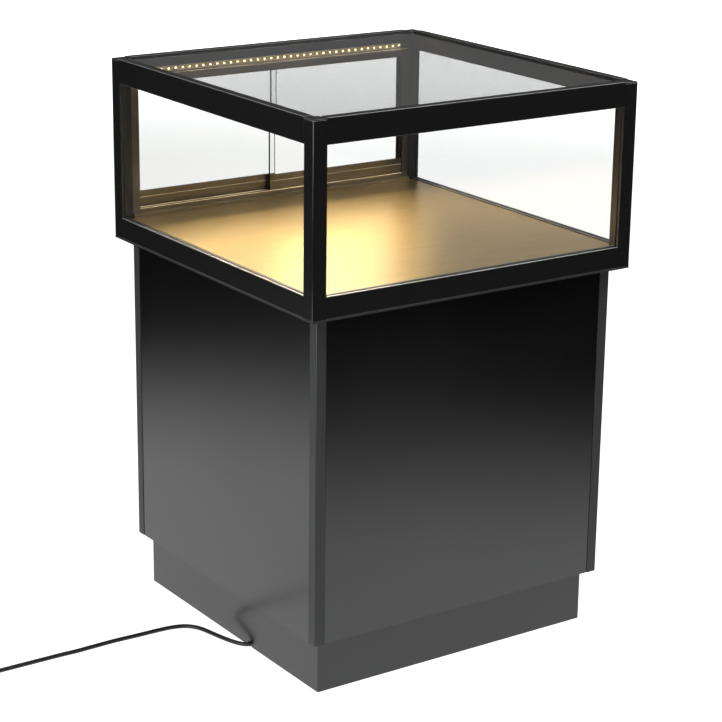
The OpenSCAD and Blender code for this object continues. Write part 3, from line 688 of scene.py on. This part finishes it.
def addCord(look):
    line = cordPath(look)
    curve = bpy.data.curves.new("mains_cord", "CURVE")
    curve.dimensions = "3D"
    curve.bevel_depth = look["diameter"] / 2
    curve.bevel_resolution = look["facets"]
    curve.use_fill_caps = True
    spline = curve.splines.new("POLY")
    spline.points.add(len(line) - 1)
    for point, place in zip(spline.points, line):
        point.co = (*place, 1)
    spline.use_smooth = True
    cord = bpy.data.objects.new("mains_cord", curve)
    scene.collection.objects.link(cord)
    curve.materials.append(materials["cableSheath"])
    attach(cord, "case")
    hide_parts("power_cord", "cord_coil")
    length = sum((b - a).length for a, b in zip(line, line[1:]))
    print("cord length", round(length, 3))
    return cord, line, length


cord, cordLine, cordLength = addCord(cordLook)

plugLook = {
    "width": 0.027, "height": 0.022, "bodyLength": 0.028, "facets": 40, "crease": 0.0003, "creaseAngle": 50,
    "reliefLength": 0.032, "reliefRibs": 6, "reliefWall": 0.0009, "reliefFlare": 0.0034, "slotDepth": 0.0011,
    "bladeLength": 0.017, "bladeGap": 0.0127, "bladeWidth": 0.0064, "bladeThick": 0.0015, "bladeDrop": 0.0077,
    "bladeRoot": 0.001, "pointStart": 0.86, "pointCut": 0.35, "pointSlope": 0.18, "pinRise": 0.0065,
    "pinFacets": 20, "shoulder": 0.3, "fuller": 0.02,
}
pinOutline = [(-0.001, 0.0024), (0.017, 0.0024), (0.019, 0.0019), (0.0198, 0.001)]  # way out, radius
# share of the length, share of the width, and how square the section is
bodyOutline = [
    (0.0, 0.50, 2.2), (0.06, 0.72, 2.6), (0.16, 0.90, 3.0), (0.30, 0.98, 3.4), (0.42, 0.93, 3.6),
    (0.60, 0.93, 3.8), (0.72, 0.985, 4.0), (0.95, 1.0, 4.2), (0.99, 0.97, 4.2), (1.0, 0.93, 4.2),
]


def ringAcross(x, centre, halfWidth, halfHeight, power, count):
    # a ring that stands across the plug's length
    ring = roundedRing(halfWidth, halfHeight, 2 / power, count)
    return [(x, centre.y + across, centre.z + up) for across, up in ring]


def reliefRings(look, end):
    # tapered sleeve with flexing slots
    rings = []
    sleeve = cordLook["diameter"] / 2 + look["reliefWall"]
    for rib in range(look["reliefRibs"]):
        for share, depth in ((0.0, 0.0), (0.62, 0.0), (0.70, look["slotDepth"]), (0.92, look["slotDepth"])):
            along = (rib + share) / look["reliefRibs"]
            radius = sleeve + look["reliefFlare"] * along - depth
            x = end.x + along * look["reliefLength"]
            rings.append(ringAcross(x, end, radius, radius, 2, look["facets"]))
    return rings


def bodyRings(look, end, start):
    # past the shoulder the body is a little fuller in height than in width
    rings = []
    for share, scale, power in bodyOutline:
        tall = scale if share < look["shoulder"] else min(1.0, scale + look["fuller"])
        rings.append(ringAcross(start + share * look["bodyLength"], end, look["width"] / 2 * scale,
                                look["height"] / 2 * tall, power, look["facets"]))
    return rings


def bladeRings(look, face, y, low):
    # flat blade with its end pointed a little
    length = look["bladeLength"]
    rings = []
    for x, cut in ((face - look["bladeRoot"], 0.0), (face + length * look["pointStart"], 0.0),
                   (face + length, look["pointCut"])):
        thin = look["bladeThick"] / 2 * (1 - cut)
        inset = look["bladeWidth"] * look["pointSlope"] * cut
        bottom, top = low + inset, low + look["bladeWidth"] - inset
        rings.append([(x, y - thin, bottom), (x, y + thin, bottom), (x, y + thin, top), (x, y - thin, top)])
    return rings


def addPlug(look, end):
    shape = bmesh.new()
    start = end.x + look["reliefLength"]
    face = start + look["bodyLength"]
    addLoft(shape, reliefRings(look, end) + bodyRings(look, end, start))
    for side in (-1, 1):
        y = end.y + side * look["bladeGap"] / 2
        addLoft(shape, bladeRings(look, face, y, end.z - look["bladeDrop"]), 1)
    pinMiddle = end + Vector((0, 0, look["pinRise"]))
    addLoft(shape, [ringAcross(face + x, pinMiddle, r, r, 2, look["pinFacets"]) for x, r in pinOutline], 1)
    plug = newPiece("mains_plug", finishMesh("mains_plug", shape), ["mouldedPlastic", "steel"], "case")
    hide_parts("plug")
    crease = plug.modifiers.new("edge", "BEVEL")
    crease.width = look["crease"]
    crease.segments = 2
    crease.angle_limit = math.radians(look["creaseAngle"])
    return plug


plug = addPlug(plugLook, cordLine[-1])

tieLook = {
    "angle": 235.0, "width": 0.012, "thick": 0.0009, "inner": 0.0245, "outer": 0.0528, "low": 0.0009,
    "high": 0.0149, "bend": 0.42, "facets": 36,
}


def tieSection(look, grow):
    # distance out from the middle of the coil, and height
    low, high = look["low"] - grow, look["high"] + grow
    inner, outer = look["inner"] - grow, look["outer"] + grow
    ring = roundedRing((outer - inner) / 2, (high - low) / 2, look["bend"], look["facets"])
    return [((inner + outer) / 2 + away, (low + high) / 2 + up) for away, up in ring]


def addTie(look):
    # hook-and-loop strap round one side of the coil
    shape = bmesh.new()
    middle = Vector((*cordLook["coilMiddle"], 0))
    a = math.radians(look["angle"])
    out, along = Vector((math.cos(a), math.sin(a), 0)), Vector((-math.sin(a), math.cos(a), 0))
    skins = []
    for grow, side in product((0.0, look["thick"]), (-0.5, 0.5)):
        skins.append([shape.verts.new(middle + out * r + along * (side * look["width"]) + Vector((0, 0, z)))
                      for r, z in tieSection(look, grow)])
    for first, second in ((0, 1), (1, 3), (3, 2), (2, 0)):
        addBand(shape, skins[first], skins[second])
    return newPiece("coil_tie", finishMesh("coil_tie", shape), ["sealBlack"], "case")


tie = addTie(tieLook)
print("cord, plug and tie made")


stripLook = {
    "count": 40, "pitch": 0.0134, "boardThick": 0.0004, "chipWidth": 0.0039, "chipHeight": 0.0030,
    "chipDepth": 0.0007, "lensInset": 0.0004, "lensRise": 0.0002,
    "padShare": 0.32, "padDrop": 0.0016, "padWidth": 0.0018, "padHeight": 0.0012, "padThick": 0.00006,
}
stripFinishes = ["board", "board", "chip", "steel"]  # board, chip bodies, lenses, solder pads


def addStrip(look):
    low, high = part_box("led_chips")
    shape = bmesh.new()
    z = (low.z + high.z) / 2
    board = high.y - look["boardThick"]
    front = board - look["chipDepth"]

    def addPart(x, middle, width, height, near, far, finish):
        addBlock(shape, (x - width / 2, near, middle - height / 2), (x + width / 2, far, middle + height / 2),
                 finish)

    lensWidth, lensHeight = (look[size] - 2 * look["lensInset"] for size in ("chipWidth", "chipHeight"))
    addBlock(shape, (low.x, board, low.z), high, 0)
    spots = []
    for k in range(look["count"]):
        x = (k - (look["count"] - 1) / 2) * look["pitch"]
        spots.append(Vector((x, front, z)))
        addPart(x, z, look["chipWidth"], look["chipHeight"], front, board, 1)
        addPart(x, z, lensWidth, lensHeight, front - look["lensRise"], front, 2)
        for side in (-1, 1):  # solder pads between the chips
            addPart(x + side * look["pitch"] * look["padShare"], z + side * look["padDrop"],
                    look["padWidth"], look["padHeight"], board - look["padThick"], board, 3)
    strip = newPiece("led_strip", finishMesh("led_strip", shape, False), stripFinishes, "case")
    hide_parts("led_chips")
    return spots


chipSpots = addStrip(stripLook)
print("LED strip made")


screwLook = {
    "depth": 0.0009, "facets": 28, "sunk": 0.0002, "hingeRadius": 0.0026, "jambRadius": 0.0028,
    "crossDeep": 0.0006, "crossInner": 0.16, "crossArm": 0.26, "crossTaper": 0.35,
    "profile": ((1.0, 0.0), (0.99, 0.25), (0.90, 0.62), (0.70, 0.9), (0.48, 1.0)),  # shares of radius, depth
}


def addScrewHead(shape, place, out, radius, look):
    # raised countersunk head with a cross recess, drawn round the outward direction
    side = out.orthogonal().normalized()
    up = out.cross(side)
    turns = turnsOf(look["facets"])

    def ringAt(height, reaches):
        return [place + out * height + side * (reach * math.cos(turn)) + up * (reach * math.sin(turn))
                for turn, reach in zip(turns, reaches)]

    rings = [ringAt(look["depth"] * height, [radius * share] * len(turns))
             for share, height in look["profile"]]
    cross = ringAt(look["depth"], [radius * (look["crossInner"] + look["crossArm"] * math.cos(2 * turn) ** 2)
                                   for turn in turns])
    middle = place + out * look["depth"]
    recess = [point - out * look["crossDeep"] + (middle - point) * look["crossTaper"] for point in cross]
    addLoft(shape, rings + [cross, recess])


def addScrews(name, spots, radius, body):
    # heads that all face the rear
    shape = bmesh.new()
    for spot in spots:
        addScrewHead(shape, Vector(spot), Vector((0, 1, 0)), radius, screwLook)
    newPiece(name, finishMesh(name, shape), ["steel"], body)


hingeLook = {
    "leaf": 0.050, "thick": 0.0015, "shares": (0.16, 0.5, 0.84),
    "frameInset": 0.0045, "doorInset": 0.007, "doorStagger": 0.008,
}


def addHingeScrews(look):
    frameLow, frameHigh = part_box("hinge_frame_leaves")
    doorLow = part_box("hinge_door_leaves")[0]
    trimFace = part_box("rear_right_trim")[1].y
    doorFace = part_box("storage_door")[1].y
    above = look["thick"] - screwLook["sunk"]
    heights = [z + share * look["leaf"] for z in (frameLow.z, frameHigh.z - look["leaf"])
               for share in look["shares"]]
    onFrame = [(frameHigh.x - look["frameInset"], trimFace + above, z) for z in heights]
    onDoor = [(doorLow.x + look["doorInset"] + look["doorStagger"] * (i % 2), doorFace + above, z)
              for i, z in enumerate(heights)]
    addScrews("frame_hinge_screws", onFrame, screwLook["hingeRadius"], "case")
    addScrews("door_hinge_screws", onDoor, screwLook["hingeRadius"], "storage_door")


addHingeScrews(hingeLook)


jambShares = (0.08, 0.5, 0.92)  # of the jamb's height


def addJambScrews(shares):
    # the same in both jambs
    low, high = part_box("left_jamb")
    across = abs(low.x + high.x) / 2
    spots = [(side * across, high.y - screwLook["sunk"], low.z + share * (high.z - low.z))
             for side in (-1, 1) for share in shares]
    addScrews("jamb_screws", spots, screwLook["jambRadius"], "case")


addJambScrews(jambShares)
print("fasteners made")


stageLook = {
    "reach": 20.0, "floor": grey(0.86), "seenShare": 0.7,
    "whiteNear": 1.47, "whiteFar": 2.75, "nearReach": 3.5, "farReach": 5.8,
    "poolMiddle": (-0.12, 0.10, 0), "poolInner": 0.75, "poolOuter": 1.85, "poolBright": 0.98, "poolDim": 0.0,
    "ambient": 0.272, "backdrop": 1.06, "sky": 0.12,
    "paper": 0.6, "ceiling": 0.024, "paperLow": 0.15, "paperTop": 0.45, "paneFaces": 2.0,
}


def lightPaths(tree):
    # how a ray comes by: straight or through glass only, by a mirror-like bounce, or by a matt bounce
    path = addNode(tree, "ShaderNodeLightPath")
    direct = mathOf(tree, "MAXIMUM", path.outputs["Is Camera Ray"], path.outputs["Is Transmission Ray"])
    matt = mathOf(tree, "MINIMUM", path.outputs["Diffuse Depth"], 1.0)
    glossy = mathOf(tree, "MINIMUM", path.outputs["Glossy Depth"], 1.0)
    isMirrored = mathOf(tree, "SUBTRACT", glossy, matt, clamp=True)
    isSeen = mathOf(tree, "SUBTRACT", direct, mathOf(tree, "MAXIMUM", matt, glossy), clamp=True)
    return path, isSeen, isMirrored


def mixShaders(tree, share, first, second):
    made = addNode(tree, "ShaderNodeMixShader")
    feed(tree, made.inputs[0], share)
    tree.links.new(first, made.inputs[1])
    tree.links.new(second, made.inputs[2])
    return made.outputs[0]


def glowOf(tree, strength):
    made = addNode(tree, "ShaderNodeEmission")
    feed(tree, made.inputs["Strength"], strength)
    return made.outputs[0]


def floorPaper(look):
    material = bpy.data.materials.new("studioFloor")
    material.use_nodes = True
    tree = material.node_tree
    tree.nodes.clear()
    _, isSeen, isMirrored = lightPaths(tree)
    paper = addNode(tree, "ShaderNodeBsdfDiffuse")
    paper.inputs["Color"].default_value = look["floor"]
    away = addNode(tree, "ShaderNodeVectorMath", operation="DISTANCE")
    feed(tree, away.inputs[0], addNode(tree, "ShaderNodeTexCoord").outputs["Object"])
    away.inputs[1].default_value = look["poolMiddle"]
    # the paper is lit more strongly further back
    white = rangeOf(tree, away.outputs["Value"], (look["nearReach"], look["farReach"]),
                    (look["whiteNear"], look["whiteFar"]), smooth=True)
    # gloss sees the lit part of the floor round the object fade into the dark of the studio
    pool = rangeOf(tree, away.outputs["Value"], (look["poolInner"], look["poolOuter"]),
                   (look["poolBright"], look["poolDim"]), smooth=True)
    seen = mixShaders(tree, look["seenShare"], paper.outputs[0], glowOf(tree, white))
    unmirrored = mixShaders(tree, isSeen, paper.outputs[0], seen)
    surface = mixShaders(tree, isMirrored, unmirrored, glowOf(tree, pool))
    output = addNode(tree, "ShaderNodeOutputMaterial")
    tree.links.new(surface, output.inputs["Surface"])
    return material


def addFloor(look):
    shape = bmesh.new()
    reach = look["reach"]
    square = ((-reach, -reach), (reach, -reach), (reach, reach), (-reach, reach))
    shape.faces.new([shape.verts.new((x, y, 0)) for x, y in square])
    floor = bpy.data.objects.new("studioFloor", finishMesh("studioFloor", shape, False))
    scene.collection.objects.link(floor)
    floor.data.materials.append(floorPaper(look))


def setWorld(look):
    world = bpy.data.worlds.new("studio")
    world.use_nodes = True
    tree = world.node_tree
    tree.nodes.clear()
    path, isSeen, isMirrored = lightPaths(tree)
    seen = rangeOf(tree, isSeen, (0.0, 1.0), (look["ambient"], look["backdrop"]))
    # what stands behind the panes is mirrored on the way out of the case as pale paper under a dark ceiling
    direction = addNode(tree, "ShaderNodeSeparateXYZ")
    feed(tree, direction.inputs[0], addNode(tree, "ShaderNodeTexCoord").outputs["Generated"])
    paper = rangeOf(tree, direction.outputs["Z"], (look["paperLow"], look["paperTop"]),
                    (look["paper"], look["ceiling"]), smooth=True)
    throughCase = mathOf(tree, "SUBTRACT", path.outputs["Transmission Depth"], look["paneFaces"], clamp=True)
    around = rangeOf(tree, throughCase, (0.0, 1.0), (look["sky"], paper))
    background = addNode(tree, "ShaderNodeBackground")
    background.inputs["Color"].default_value = grey(1.0)
    feed(tree, background.inputs["Strength"], rangeOf(tree, isMirrored, (0.0, 1.0), (seen, around)))
    output = addNode(tree, "ShaderNodeOutputWorld")
    tree.links.new(background.outputs[0], output.inputs["Surface"])
    scene.world = world


lampLook = {
    "overhead": {
        "place": (1.45, -0.95, 3.0), "aim": (0, 0, 0.7), "size": (1.3, 1.3), "watts": 72,
        "colour": (1, 1, 1), "spread": 180,
    },
    "leftSide": {
        "place": (-2.9, -0.9, 1.3), "aim": (0, 0, 0.5), "size": (1.0, 1.8), "watts": 62,
        "colour": (1, 1, 1), "spread": 180,
    },
}
# the upper track cuts the light off a little in front of the doors
chipLampLook = {
    "size": (0.0027, 0.0008), "watts": 0.082, "colour": (1.0, 0.86, 0.61), "spread": 120,
    "ahead": 0.0044, "dip": 1.5,
}


def addLamp(name, look):
    data = bpy.data.lights.new(name, "AREA")
    data.shape = "RECTANGLE"
    data.size, data.size_y = look["size"]
    data.energy = look["watts"]
    data.color = look["colour"]
    data.spread = math.radians(look["spread"])
    lamp = bpy.data.objects.new(name, data)
    lamp.location = look["place"]
    lamp.rotation_euler = (Vector(look["aim"]) - Vector(look["place"])).to_track_quat("-Z", "Y").to_euler()
    lamp.visible_camera = lamp.visible_transmission = False
    scene.collection.objects.link(lamp)


def addChipLamps(look, spots):
    # each chip throws its own light forwards and down on the deck
    for i, spot in enumerate(spots):
        place = spot - Vector((0, look["ahead"], 0))
        addLamp(f"chipLamp{i}", {**look, "place": place, "aim": place - Vector((0, 1, look["dip"]))})


addFloor(stageLook)
setWorld(stageLook)
for name, look in lampLook.items():
    addLamp(name, look)
addChipLamps(chipLampLook, chipSpots)
scene.view_settings.view_transform = "Standard"
print("stage and lights set")
